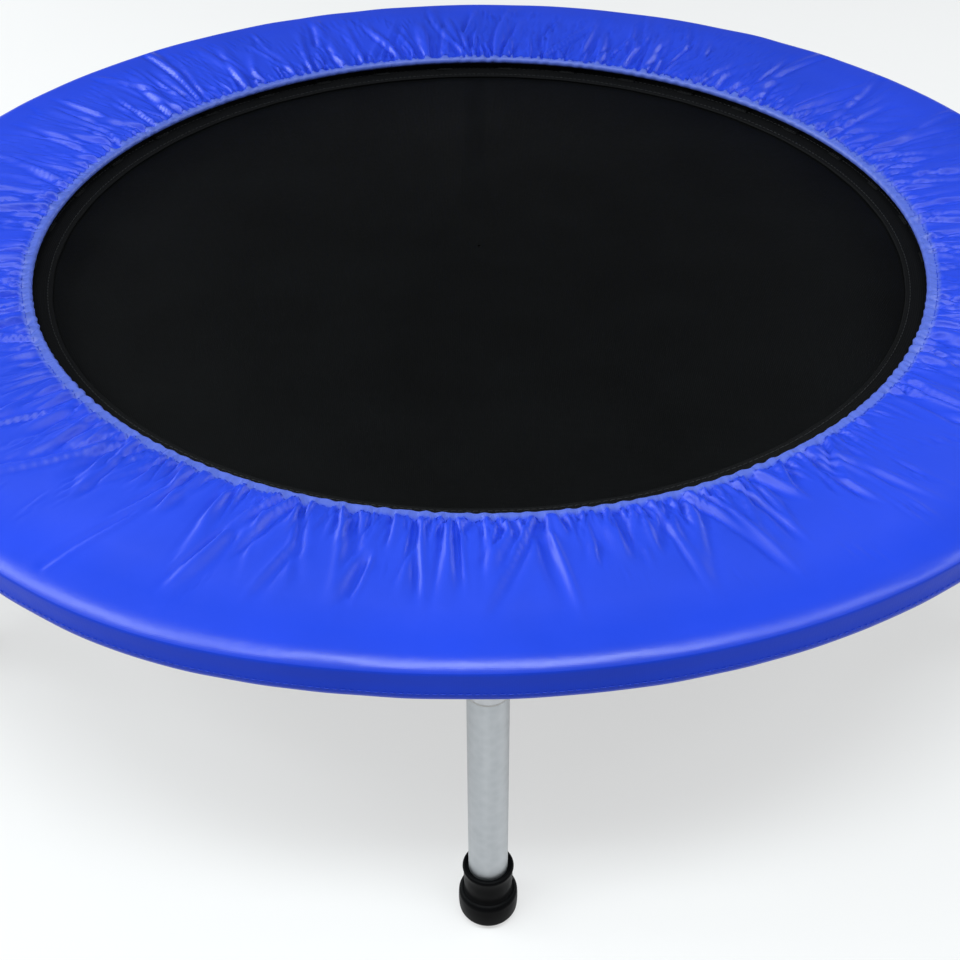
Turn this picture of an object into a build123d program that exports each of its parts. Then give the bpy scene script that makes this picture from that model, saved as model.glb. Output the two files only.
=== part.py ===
from build123d import *

import os
from math import cos, radians, sin, sqrt

# A round mini trampoline on six screw-in legs, in millimetres. +Z is up and the origin is on the
# floor, under the middle of the mat. Leg 1 is at the front (-Y); the legs count counter-clockwise.

os.makedirs("parts", exist_ok=True)

# Driving dimensions
overall_diameter = 965.0  # over the cover's skirt: a 38 inch trampoline
overall_height = 228.6  # floor to the top of the cover: 9 inches
opening_diameter = 686.0  # inside the cover's gathered hem
leg_count = 6
spring_count = 36
front = -90.0  # the first leg's angle about Z, in degrees

# Ring frame: one inch steel tube, bent as two half rings and riveted over inner sleeves
tube_radius = 12.7
tube_wall = 1.5
cover_thickness = 1.0
hem_allowance = 0.9  # the cover's hem roll stands this proud of the skirt
cover_gap = 0.15
skirt_radius = overall_diameter / 2 - hem_allowance
ring_radius = skirt_radius - cover_thickness - cover_gap - tube_radius
ring_height = 211.6
ring_bottom = ring_height - tube_radius
sleeve_gap = 0.1
sleeve_wall = 1.5
sleeve_angle = 7.4
rivet_angle = 2.0  # each side of the joint
rivet_radius = 2.4

# Spring holes in the ring's inner wall
slot_width = 4.0
slot_height = 8.0

# Leg sockets: turned steel bosses welded under the ring, tapped M10 x 1.5
socket_radius = 12.0
socket_bottom = 197.0
socket_crown = 204.0
barrel_radius = 7.5
barrel_top = 213.0
weld_gap = 0.1
bolt_radius = 5.0
thread_clearance = 0.05

# Legs
washer_thickness = 1.2
leg_radius = 12.0
leg_wall = 1.5
leg_top = socket_bottom - washer_thickness
sole_thickness = 8.0
plug_length = 20.0
bolt_head_height = 6.4
bolt_head_flats = 17.0
bolt_tip = 212.5
bolt_chamfer = 1.2
washer_clearance = 0.3
foot_height = 43.0

# Mat, its hem and the rings that the springs pull on
mat_height = 208.5
mat_thickness = 1.2
mat_radius = 360.0
hem_inner = 330.0
hem_outer = 363.5
hem_thickness = 4.4
tab_inner = 344.0
tab_width = 15.0
tab_thickness = 6.8
bar_radius = 366.0  # where the ring's base bar runs through the tab
apex_radius = 377.0  # where the spring's hook pulls
ring_half_width = 14.0
ring_corner = 2.5
ring_apex_bend = 4.0
ring_wire = 1.6
wire_clearance = 0.05

# Springs: close-wound extension springs, modelled as tubes with a hook at each end
spring_wire = 1.2
coil_mean_radius = 5.1
coil_half_wall = 1.3
hook_radius = 3.0
hook_reach = 20.0  # from the hook's seat to where its wire ends inside the coil
hook_lead = 12.0  # along the coil's wall before it bends in
hook_neck = 8.0
hook_lip = 2.5  # the hook's mouth stays this far open
hook_drop = 5.0  # behind the ring's wall
hook_bend = 1.6
hook_curl = 2.9
wall_clearance = 0.2
coil_inset = 15.0

# Safety pad: foam ring in a blue cover
cover_top = overall_height
pad_bottom = 217.7
pad_slope_radius = 452.0  # the top slopes down from here to the inner hem
hem_radius = 2.9
outer_corner = 10.7
skirt_bottom = 205.0
hem_roll_height = 4.0
panel_thickness = 0.6
foam_inner = 350.0
foam_gap = 0.3
elastic_radius = 1.6
band_thickness = 0.7
band_height = 2.4
band_angle = 50.0

leg_places = [
    Location(
        (ring_radius * cos(radians(angle)), ring_radius * sin(radians(angle)), 0),
        (0, 0, angle),
    )
    for angle in [front + 360 / leg_count * i for i in range(leg_count)]
]


def radial_plane(angle):
    """The upright plane through Z at that angle: its x runs outward and its y runs up."""
    a = radians(angle)
    return Plane(origin=(0, 0, 0), x_dir=(cos(a), sin(a), 0), z_dir=(sin(a), -cos(a), 0))


def write(piece, name):
    """Labels a finished piece and writes it as its own STEP file."""
    piece.part.label = name
    export_step(piece.part, f"parts/{name}.step")


# ---------------------------------------------------------------- ring frame
def frame_arc(start):
    """Half of the ring, from that angle, with its socket holes, spring slots and rivet holes."""
    with BuildPart() as arc:
        with BuildSketch(radial_plane(start)):
            with Locations((ring_radius, ring_height)):
                Circle(tube_radius)
                Circle(tube_radius - tube_wall, mode=Mode.SUBTRACT)
        revolve(axis=Axis.Z, revolution_arc=180)
        with BuildSketch(Plane.XY.offset(ring_bottom - 1)):
            with PolarLocations(ring_radius, leg_count // 2, start + 180 / leg_count, 180):
                Circle(barrel_radius + weld_gap)
            with PolarLocations(ring_radius, 2, start + rivet_angle, 360 - 4 * rivet_angle):
                Circle(rivet_radius)
        extrude(amount=tube_radius, mode=Mode.SUBTRACT)
        with BuildSketch(Plane.XY.offset(ring_height - slot_height / 2)):
            first = start + 180 / spring_count
            with PolarLocations(ring_radius - tube_radius, spring_count // 2, first, 180):
                Rectangle(2 * tube_radius / 3, slot_width)
        extrude(amount=slot_height, mode=Mode.SUBTRACT)
    return arc


frame_arc_rear = frame_arc(0)
frame_arc_front = frame_arc(180)
write(frame_arc_rear, "frame_arc_rear")
write(frame_arc_front, "frame_arc_front")

# Two short sleeves inside the ring, one across each joint, at +X and -X
sleeve_outer = tube_radius - tube_wall - sleeve_gap
with BuildPart() as splice_sleeves:
    for joint in (0, 180):
        with BuildSketch(radial_plane(joint - sleeve_angle / 2)):
            with Locations((ring_radius, ring_height)):
                Circle(sleeve_outer)
                Circle(sleeve_outer - sleeve_wall, mode=Mode.SUBTRACT)
        revolve(axis=Axis.Z, revolution_arc=sleeve_angle)
    with BuildSketch(Plane.XY.offset(ring_bottom)):
        for side in (-rivet_angle, rivet_angle):
            with PolarLocations(ring_radius, 2, side):
                Circle(rivet_radius)
    extrude(amount=tube_radius / 2, mode=Mode.SUBTRACT)
write(splice_sleeves, "splice_sleeves")

# Four blind rivets from below, one each side of both joints
rivet_head_radius = 4.5
rivet_head_height = 1.6
rivet_bulge_radius = 3.6
rivet_bulge_height = 2.0
rivet_shank = 1.0  # how much of the shank shows above the sleeve's wall
rivet_dome = 1.2
sleeve_floor = ring_height - sleeve_outer + sleeve_wall
with BuildPart() as splice_rivets:
    with BuildSketch(Plane.XY.offset(ring_bottom - rivet_head_height)):
        for side in (-rivet_angle, rivet_angle):
            with PolarLocations(ring_radius, 2, side):
                Circle(rivet_head_radius)
    extrude(amount=rivet_head_height)
    fillet(splice_rivets.edges().group_by(Axis.Z)[0], rivet_dome)
    with BuildSketch(Plane.XY.offset(ring_bottom - rivet_head_height / 2)):
        for side in (-rivet_angle, rivet_angle):
            with PolarLocations(ring_radius, 2, side):
                Circle(rivet_radius)
    extrude(amount=sleeve_floor + rivet_shank - ring_bottom + rivet_head_height / 2)
    with BuildSketch(Plane.XY.offset(sleeve_floor + rivet_shank)):
        for side in (-rivet_angle, rivet_angle):
            with PolarLocations(ring_radius, 2, side):
                Circle(rivet_bulge_radius)
    extrude(amount=rivet_bulge_height)
write(splice_rivets, "splice_rivets")

# ---------------------------------------------------------------- leg sockets
with BuildPart() as leg_sockets:
    with BuildSketch(Plane.XY.offset(socket_bottom)):
        with PolarLocations(ring_radius, leg_count, front):
            Circle(socket_radius)
    extrude(amount=socket_crown - socket_bottom)
    with BuildSketch(Plane.XZ):
        with Locations((ring_radius, ring_height)):
            Circle(tube_radius + weld_gap / 2)
    revolve(axis=Axis.Z, mode=Mode.SUBTRACT)
    with BuildSketch(Plane.XY.offset(socket_bottom)):
        with PolarLocations(ring_radius, leg_count, front):
            Circle(barrel_radius)
    extrude(amount=barrel_top - socket_bottom)
    with BuildSketch(Plane.XY.offset(socket_bottom)):
        with PolarLocations(ring_radius, leg_count, front):
            Circle(bolt_radius + thread_clearance)
    extrude(amount=barrel_top - socket_bottom, mode=Mode.SUBTRACT)
write(leg_sockets, "leg_sockets")

# ---------------------------------------------------------------- one leg, on its own axis
with BuildPart() as leg_tube:
    with BuildSketch(Plane.XY.offset(sole_thickness)):
        Circle(leg_radius)
        Circle(leg_radius - leg_wall, mode=Mode.SUBTRACT)
    extrude(amount=leg_top - sole_thickness)

with BuildPart() as leg_plug:
    with BuildSketch(Plane.XY.offset(leg_top - plug_length)):
        Circle(leg_radius - leg_wall)
        Circle(bolt_radius, mode=Mode.SUBTRACT)
    extrude(amount=plug_length)

# Hexagon bolt, head down inside the leg, its shank standing out of the top as the leg's thread
with BuildPart() as leg_bolt:
    with BuildSketch(Plane.XY.offset(leg_top - plug_length - bolt_head_height)):
        RegularPolygon(bolt_head_flats / 2, 6, major_radius=False)
    extrude(amount=bolt_head_height)
    with BuildSketch(Plane.XY.offset(leg_top - plug_length)):
        Circle(bolt_radius)
    extrude(amount=bolt_tip - leg_top + plug_length)
    chamfer(leg_bolt.edges().group_by(Axis.Z)[-1], bolt_chamfer)

with BuildPart() as leg_washer:
    with BuildSketch(Plane.XY.offset(leg_top)):
        Circle(leg_radius)
        Circle(bolt_radius + washer_clearance, mode=Mode.SUBTRACT)
    extrude(amount=washer_thickness)

# Rubber foot: a rounded bulb with a collar that grips the tube
sole_radius = 12.8
bulb_radius = 18.1
bulb_swell = 0.2
bulb_low = 6.0
bulb_high = 17.0
waist_radius = 14.8
waist_edge = 0.4
waist_low = 20.6
waist_height = 26.0
rim_radius = 15.7
rim_fall = 2.0  # the rounded rim comes down this far on its outer side
mouth_radius = leg_radius + 0.05
mouth_depth = 1.4
groove_inner = 7.4
groove_outer = 9.0
groove_depth = 1.2
rim_low = foot_height - rim_fall
bulb_middle = (bulb_low + bulb_high) / 2
with BuildPart() as foot:
    with BuildSketch(Plane.XZ):
        with BuildLine():
            Polyline((0, sole_thickness), (0, 0), (sole_radius, 0))
            RadiusArc((sole_radius, 0), (bulb_radius, bulb_low), -bulb_low)
            ThreePointArc(
                (bulb_radius, bulb_low),
                (bulb_radius + bulb_swell, bulb_middle),
                (bulb_radius, bulb_high),
            )
            RadiusArc(
                (bulb_radius, bulb_high),
                (waist_radius + waist_edge, waist_low),
                bulb_high - waist_low,
            )
            Spline(
                (waist_radius + waist_edge, waist_low),
                (waist_radius, waist_height),
                (rim_radius, rim_low),
                tangents=((-1, 1), (0.25, 1)),
            )
            ThreePointArc(
                (rim_radius, rim_low),
                ((rim_radius + leg_radius) / 2 + 0.3, foot_height),
                (mouth_radius, foot_height - mouth_depth),
            )
            Polyline(
                (mouth_radius, foot_height - mouth_depth),
                (mouth_radius, sole_thickness),
                (0, sole_thickness),
            )
        make_face()
    revolve(axis=Axis.Z)
    with BuildSketch():
        Circle(groove_outer)
        Circle(groove_inner, mode=Mode.SUBTRACT)
    extrude(amount=groove_depth, mode=Mode.SUBTRACT)

leg_pieces = {
    "leg_tube": leg_tube,
    "leg_plug": leg_plug,
    "leg_bolt": leg_bolt,
    "leg_washer": leg_washer,
    "foot": foot,
}
for number, place in enumerate(leg_places, start=1):
    for name, piece in leg_pieces.items():
        with BuildPart() as placed:
            with Locations(place):
                add(piece.part)
        write(placed, f"{name}_{number}")

# ---------------------------------------------------------------- mat
with BuildPart() as jump_mat:
    with BuildSketch(Plane.XY.offset(mat_height - mat_thickness / 2)):
        Circle(mat_radius)
    extrude(amount=mat_thickness)
write(jump_mat, "jump_mat")

# Webbing folded round the mat's edge
with BuildPart() as mat_hem:
    with BuildSketch(Plane.XZ):
        with Locations(((hem_inner + hem_outer) / 2, mat_height)):
            Rectangle(hem_outer - hem_inner, hem_thickness)
        with Locations(((hem_inner + mat_radius) / 2, mat_height)):
            Rectangle(mat_radius - hem_inner, mat_thickness, mode=Mode.SUBTRACT)
    revolve(axis=Axis.Z)
write(mat_hem, "mat_hem")

# One webbing tab: it straddles the hem and holds the base bar of its ring
with BuildPart() as tab:
    with BuildSketch(Plane.XZ):
        with Locations(((tab_inner + bar_radius) / 2, mat_height)):
            Rectangle(bar_radius - tab_inner, tab_thickness)
        with Locations((bar_radius, mat_height)):
            Circle(tab_thickness / 2)
            Circle(ring_wire + wire_clearance, mode=Mode.SUBTRACT)
        with Locations(((hem_inner + hem_outer) / 2, mat_height)):
            Rectangle(hem_outer - hem_inner, hem_thickness, mode=Mode.SUBTRACT)
    extrude(amount=tab_width / 2, both=True)

# One triangular wire ring, flat in the mat's plane
apex_corner = apex_radius + ring_apex_bend * (sqrt(2) - 1)
with BuildPart() as v_ring:
    with BuildLine(Plane.XY.offset(mat_height)):
        v_path = FilletPolyline(
            (bar_radius, ring_half_width),
            (apex_corner, 0),
            (bar_radius, -ring_half_width),
            radius=(ring_corner, ring_apex_bend, ring_corner),
            close=True,
        )
    with BuildSketch(Plane(origin=v_path @ 0, z_dir=v_path % 0)):
        Circle(ring_wire)
    sweep(path=v_path)

# One spring, tilted from the mat's plane up to the middle of the frame tube
seat = Vector(apex_radius, 0, mat_height)
wall_offset = sqrt((tube_radius - tube_wall) ** 2 - hook_drop**2)
tube_inside = ring_radius - wall_offset + spring_wire + wall_clearance
anchor = Vector(tube_inside, 0, ring_height)
reach = (anchor - seat).length
axis_plane = Plane(origin=seat, x_dir=anchor - seat, z_dir=(0, -1, 0))
with BuildPart() as spring:
    with BuildSketch(axis_plane):
        with Locations((reach / 2, coil_mean_radius)):
            Rectangle(reach - 2 * coil_inset, 2 * coil_half_wall)
    revolve(axis=Axis(seat, anchor - seat))
    with BuildLine(axis_plane):
        mat_hook = FilletPolyline(
            (hook_reach, coil_mean_radius),
            (hook_lead, coil_mean_radius),
            (hook_neck, hook_radius),
            (-hook_radius, hook_radius),
            (-hook_radius, -hook_radius),
            (hook_lip, -hook_radius),
            radius=(hook_bend, hook_bend, hook_curl, hook_curl),
        )
    with BuildSketch(Plane(origin=mat_hook @ 0, z_dir=mat_hook % 0)):
        Circle(spring_wire)
    sweep(path=mat_hook)
    with BuildLine(axis_plane):
        frame_hook = FilletPolyline(
            (reach - hook_reach, coil_mean_radius),
            (reach - hook_lead - 1, coil_mean_radius),
            (reach - hook_neck, 0),
            (reach, 0),
            (reach, -hook_drop),
            radius=(hook_bend, hook_bend, hook_bend),
        )
    with BuildSketch(Plane(origin=frame_hook @ 0, z_dir=frame_hook % 0)):
        Circle(spring_wire)
    sweep(path=frame_hook)

ring_sets = {"ring_tabs": tab, "v_rings": v_ring, "springs": spring}
for name, piece in ring_sets.items():
    with BuildPart() as around:
        with PolarLocations(0, spring_count, 180 / spring_count):
            add(piece.part)
    write(around, name)

# ---------------------------------------------------------------- safety pad
opening_radius = opening_diameter / 2
skirt_inner = skirt_radius - cover_thickness
corner_x = skirt_radius - outer_corner
corner_z = cover_top - outer_corner
hem_x = opening_radius + hem_radius
hem_z = pad_bottom + hem_radius
roll_radius = hem_radius - cover_thickness
with BuildPart() as pad_cover:
    with BuildSketch(Plane.XZ):
        with BuildLine():
            ThreePointArc(
                (hem_x, hem_z - hem_radius), (opening_radius, hem_z), (hem_x, hem_z + hem_radius)
            )
            Polyline(
                (hem_x, hem_z + hem_radius), (pad_slope_radius, cover_top), (corner_x, cover_top)
            )
            RadiusArc((corner_x, cover_top), (skirt_radius, corner_z), outer_corner)
            Polyline(
                (skirt_radius, corner_z),
                (skirt_radius, skirt_bottom + hem_roll_height),
                (skirt_radius + hem_allowance, skirt_bottom + hem_roll_height - 1),
                (skirt_radius + hem_allowance, skirt_bottom),
                (skirt_inner, skirt_bottom),
                (skirt_inner, corner_z),
            )
            RadiusArc(
                (skirt_inner, corner_z),
                (corner_x, cover_top - cover_thickness),
                -(outer_corner - cover_thickness),
            )
            Polyline(
                (corner_x, cover_top - cover_thickness),
                (pad_slope_radius, cover_top - cover_thickness),
                (hem_x, hem_z + roll_radius),
            )
            ThreePointArc(
                (hem_x, hem_z + roll_radius),
                (hem_x - roll_radius, hem_z),
                (hem_x, hem_z - roll_radius),
            )
            Line((hem_x, hem_z - roll_radius), (hem_x, hem_z - hem_radius))
        make_face()
    revolve(axis=Axis.Z)
write(pad_cover, "pad_cover")

# The panel under the foam, from the inner hem to the ring
panel_gap = 0.4
panel_outer = ring_radius - sqrt(tube_radius**2 - (pad_bottom - ring_height) ** 2) - panel_gap
with BuildPart() as pad_underside:
    with BuildSketch(Plane.XY.offset(pad_bottom)):
        Circle(panel_outer)
        Circle(hem_x, mode=Mode.SUBTRACT)
    extrude(amount=panel_thickness)
write(pad_underside, "pad_underside")

# Foam ring: flat over the springs, sloping up outwards, thin where it rolls over the tube
foam_bottom = pad_bottom + panel_thickness + foam_gap
foam_top = cover_top - cover_thickness - foam_gap
foam_edge = corner_z + 1.0
foam_start = hem_z + roll_radius - foam_gap
hug_radius = tube_radius + foam_gap
hug_inner = ring_radius - sqrt(hug_radius**2 - (foam_bottom - ring_height) ** 2)
hug_outer = ring_radius + sqrt(hug_radius**2 - (foam_edge - ring_height) ** 2)
foam_corner = outer_corner - cover_thickness - foam_gap
foam_side = corner_x + sqrt(foam_corner**2 - (foam_edge - corner_z) ** 2)
with BuildPart() as pad_foam:
    with BuildSketch(Plane.XZ):
        with BuildLine():
            Line((foam_inner, foam_bottom), (hug_inner, foam_bottom))
            ThreePointArc(
                (hug_inner, foam_bottom),
                (ring_radius, ring_height + hug_radius),
                (hug_outer, foam_edge),
            )
            Line((hug_outer, foam_edge), (foam_side, foam_edge))
            RadiusArc((foam_side, foam_edge), (corner_x, foam_top), -foam_corner)
            Polyline(
                (corner_x, foam_top),
                (pad_slope_radius, foam_top),
                (foam_inner, foam_start),
                (foam_inner, foam_bottom),
            )
        make_face()
    revolve(axis=Axis.Z)
write(pad_foam, "pad_foam")

# Elastic cord in the inner hem
with BuildPart() as inner_elastic:
    with BuildSketch(Plane.XZ):
        with Locations((hem_x, hem_z)):
            Circle(elastic_radius)
    revolve(axis=Axis.Z)
write(inner_elastic, "inner_elastic")

# Elastic bands sewn inside the skirt between the legs
band_x = skirt_inner - band_thickness / 2
band_lift = 0.2
band_z = skirt_bottom + band_lift + band_height / 2
with BuildPart() as skirt_elastic:
    for place in range(leg_count):
        middle = front + 360 / leg_count * (place + 0.5)
        with BuildSketch(radial_plane(middle - band_angle / 2)):
            with Locations((band_x, band_z)):
                Rectangle(band_thickness, band_height)
        revolve(axis=Axis.Z, revolution_arc=band_angle)
write(skirt_elastic, "skirt_elastic")
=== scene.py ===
"""The looks of a round mini trampoline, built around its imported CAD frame. All lengths are metres."""

import math

import bpy
import numpy as np
from mathutils import Matrix, Vector


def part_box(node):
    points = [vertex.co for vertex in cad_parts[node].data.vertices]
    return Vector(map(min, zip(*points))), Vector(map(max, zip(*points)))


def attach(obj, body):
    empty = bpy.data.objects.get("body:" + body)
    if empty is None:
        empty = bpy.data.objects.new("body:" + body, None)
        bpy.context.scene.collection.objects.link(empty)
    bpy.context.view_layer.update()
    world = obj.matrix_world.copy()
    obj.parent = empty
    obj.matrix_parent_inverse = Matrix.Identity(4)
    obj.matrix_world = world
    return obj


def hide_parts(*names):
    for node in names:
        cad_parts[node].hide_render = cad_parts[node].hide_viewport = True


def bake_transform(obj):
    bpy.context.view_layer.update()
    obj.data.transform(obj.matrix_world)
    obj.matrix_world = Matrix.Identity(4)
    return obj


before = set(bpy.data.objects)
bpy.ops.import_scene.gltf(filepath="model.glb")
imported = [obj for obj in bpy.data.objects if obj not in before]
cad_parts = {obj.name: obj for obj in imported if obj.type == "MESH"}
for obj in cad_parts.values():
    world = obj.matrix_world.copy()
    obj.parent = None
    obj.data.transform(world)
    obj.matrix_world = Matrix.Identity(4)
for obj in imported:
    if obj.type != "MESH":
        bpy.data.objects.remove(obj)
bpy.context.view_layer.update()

MM = 0.001
LEGS = range(1, 7)
LEG_STEP = 60  # degrees from one leg to the next
SPRINGS = 36
FIRST_SPRING, SPRING_STEP = 5, 10  # degrees about Z: the first spring, and from one to the next
SPRING_WIRE = 1.2 * MM  # half the thickness of the springs' wire
FRONT = math.radians(-90)
SLACK_MIDDLE = -78  # degrees round the pad: where its inner hem is slackest
PAD_SLOPE_RADIUS = 0.452  # the pad's top rises outward to here
DRAWN_START, DRAWN_END = 0.435, 0.458  # radii over which the cover gets smoother
DROOP_START = 0.43  # the rim's droop begins here
TUBE_WALL = 1.5 * MM
HEM_POINTS = 720  # points round the lining, the mat's hem and the hem's elastic
MAT_POINTS = 216
FOAM_POINTS = 360
BAND_POINTS = 260  # points along one elastic band

# ---------------------------------------------------------------- sizes read from the frame
cover_low, cover_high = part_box("pad_cover")
panel_low, panel_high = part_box("pad_underside")
foam_low, foam_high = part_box("pad_foam")
cord_low, cord_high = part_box("inner_elastic")
band_low, band_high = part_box("skirt_elastic")
mat_low, mat_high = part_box("jump_mat")
hem_low, hem_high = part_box("mat_hem")
tab_low, tab_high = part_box("ring_tabs")
ring_low, ring_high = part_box("frame_arc_rear")
wire_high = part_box("v_rings")[1]
socket_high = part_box("leg_sockets")[1]

cover_top = cover_high.z
cover_bottom = cover_low.z
hem_proud = 0.9 * MM  # the skirt's hem stands this far out
skirt_radius = cover_high.x - hem_proud
cord_radius = (cord_high.z - cord_low.z) / 2
hem_radius = cord_high.x - cord_radius  # the middle of the gathered hem
hem_height = (cord_high.z + cord_low.z) / 2
roll_radius = cord_radius + 1.6 * MM
tube_radius = (ring_high.z - ring_low.z) / 2
ring_height = (ring_high.z + ring_low.z) / 2
ring_radius = ring_high.x - tube_radius
mat_height = (mat_low.z + mat_high.z) / 2
mat_radius = mat_high.x
mat_half = (mat_high.z - mat_low.z) / 2
hem_outer = hem_high.x
hem_inner = mat_radius - 30 * MM
hem_half = (hem_high.z - hem_low.z) / 2


# ---------------------------------------------------------------- mesh helpers
def grid_faces(rows, columns, wrap_rows=False, wrap_columns=False):
    """Quads over a grid of points stored row by row."""
    r = np.arange(rows if wrap_rows else rows - 1)[:, None]
    c = np.arange(columns if wrap_columns else columns - 1)[None, :]
    right = (c + 1) % columns
    below = (r + 1) % rows * columns
    here = r * columns
    corners = (here + c, here + right, below + right, below + c)
    return np.stack(corners, axis=-1).reshape(-1, 4)


def piece(name, points, faces, material, body, slot):
    """A mesh piece that rides on a body, in a material; the slot argument is not used."""
    mesh = bpy.data.meshes.new(name)
    places = np.asarray(points, float).reshape(-1, 3).tolist()
    mesh.from_pydata(places, [], [list(map(int, face)) for face in faces])
    mesh.validate()
    mesh.polygons.foreach_set("use_smooth", [True] * len(mesh.polygons))
    mesh.materials.append(material)
    made = bpy.data.objects.new(name, mesh)
    bpy.context.scene.collection.objects.link(made)
    if body:
        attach(made, body)
    return made


def around(turn, radius, height):
    """Points at the angles in turn, from radius and height arrays of shape (angles, n)."""
    a = turn[:, None]
    return np.stack([radius * np.cos(a), radius * np.sin(a), height + 0 * a], axis=-1)


def unit(v):
    return v / np.maximum(np.linalg.norm(v, axis=-1, keepdims=True), 1e-12)


def carried_frames(path, closed=False):
    """Two cross directions at each point of a path, carried along it without twisting."""
    if closed:
        tangent = unit(np.roll(path, -1, axis=0) - np.roll(path, 1, axis=0))
    else:
        tangent = unit(np.gradient(path, axis=0))
    side = np.cross(tangent[0], (0.0, 0.0, 1.0))
    if np.linalg.norm(side) < 0.1:
        side = np.cross(tangent[0], (1.0, 0.0, 0.0))
    sides = []
    for t in tangent:
        side = side - t * np.dot(side, t)
        side = side / np.linalg.norm(side)
        sides.append(side)
    sides = np.array(sides)
    return sides, np.cross(tangent, sides)


def wire(path, radius, sides=8, closed=False):
    """Points and faces of a round wire along a path; radius may be one value per point."""
    across, up = carried_frames(path, closed)
    turn = np.linspace(0, 2 * math.pi, sides, endpoint=False)
    radius = np.broadcast_to(np.asarray(radius, float), (len(path),))
    spokes = across[:, None] * np.cos(turn)[None, :, None] + up[:, None] * np.sin(turn)[None, :, None]
    points = path[:, None] + spokes * radius[:, None, None]
    faces = grid_faces(len(path), sides, closed, True).tolist()
    if not closed:
        last = (len(path) - 1) * sides
        faces.append(list(range(sides))[::-1])
        faces.append([last + k for k in range(sides)])
    return points.reshape(-1, 3), faces


def joined(parts):
    """Several (points, faces) pairs as one."""
    points, faces, count = [], [], 0
    for p, f in parts:
        points.append(np.asarray(p).reshape(-1, 3))
        faces.extend([[v + count for v in face] for face in f])
        count += len(points[-1])
    return np.concatenate(points), faces


def stitch_row(line, normals, thick, length=3.2 * MM, gap=1.3 * MM, closed=True):
    """Threads lying one after another along a line of points, sunk at both ends."""
    steps = np.linalg.norm(np.diff(line, axis=0, append=line[:1] if closed else line[-1:]), axis=1)
    reach = np.concatenate([[0], np.cumsum(steps)])
    total = reach[len(line)] if closed else reach[len(line) - 1]
    count = max(1, int(total / (length + gap)))
    where = (np.arange(count) + 0.5) * total / count
    knots = np.concatenate([line, line[:1]]) if closed else line
    flat = np.concatenate([normals, normals[:1]]) if closed else normals
    reach = reach[: len(knots)]

    def at(values, s):
        return np.stack([np.interp(s, reach, values[:, k]) for k in range(3)], axis=-1)

    half = length / 2
    centre, normal = at(knots, where), unit(at(flat, where))
    ahead = at(knots, np.minimum(where + half, total)) - at(knots, np.maximum(where - half, 0))
    along = unit(ahead)
    across = np.cross(normal, along)
    stations = np.array([-1.0, -0.8, -0.35, 0.35, 0.8, 1.0])
    girth = np.array([0.45, 0.9, 1.0, 1.0, 0.9, 0.45])
    lift = np.array([-0.9, 0.1, 0.75, 0.75, 0.1, -0.9])
    turn = np.linspace(0, 2 * math.pi, 6, endpoint=False)
    points = (
        centre[:, None, None]
        + along[:, None, None] * (stations * half)[None, :, None, None]
        + normal[:, None, None] * ((lift[:, None] + girth[:, None] * np.sin(turn)) * thick)[None, :, :, None]
        + across[:, None, None] * (girth[:, None] * np.cos(turn) * thick * 1.15)[None, :, :, None]
    )
    # each thread is six rings of six points, capped at both ends
    one = grid_faces(6, 6, False, True).tolist() + [[5, 4, 3, 2, 1, 0], [30, 31, 32, 33, 34, 35]]
    faces = [[v + 36 * k for v in face] for k in range(count) for face in one]
    return points.reshape(-1, 3), faces


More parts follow.
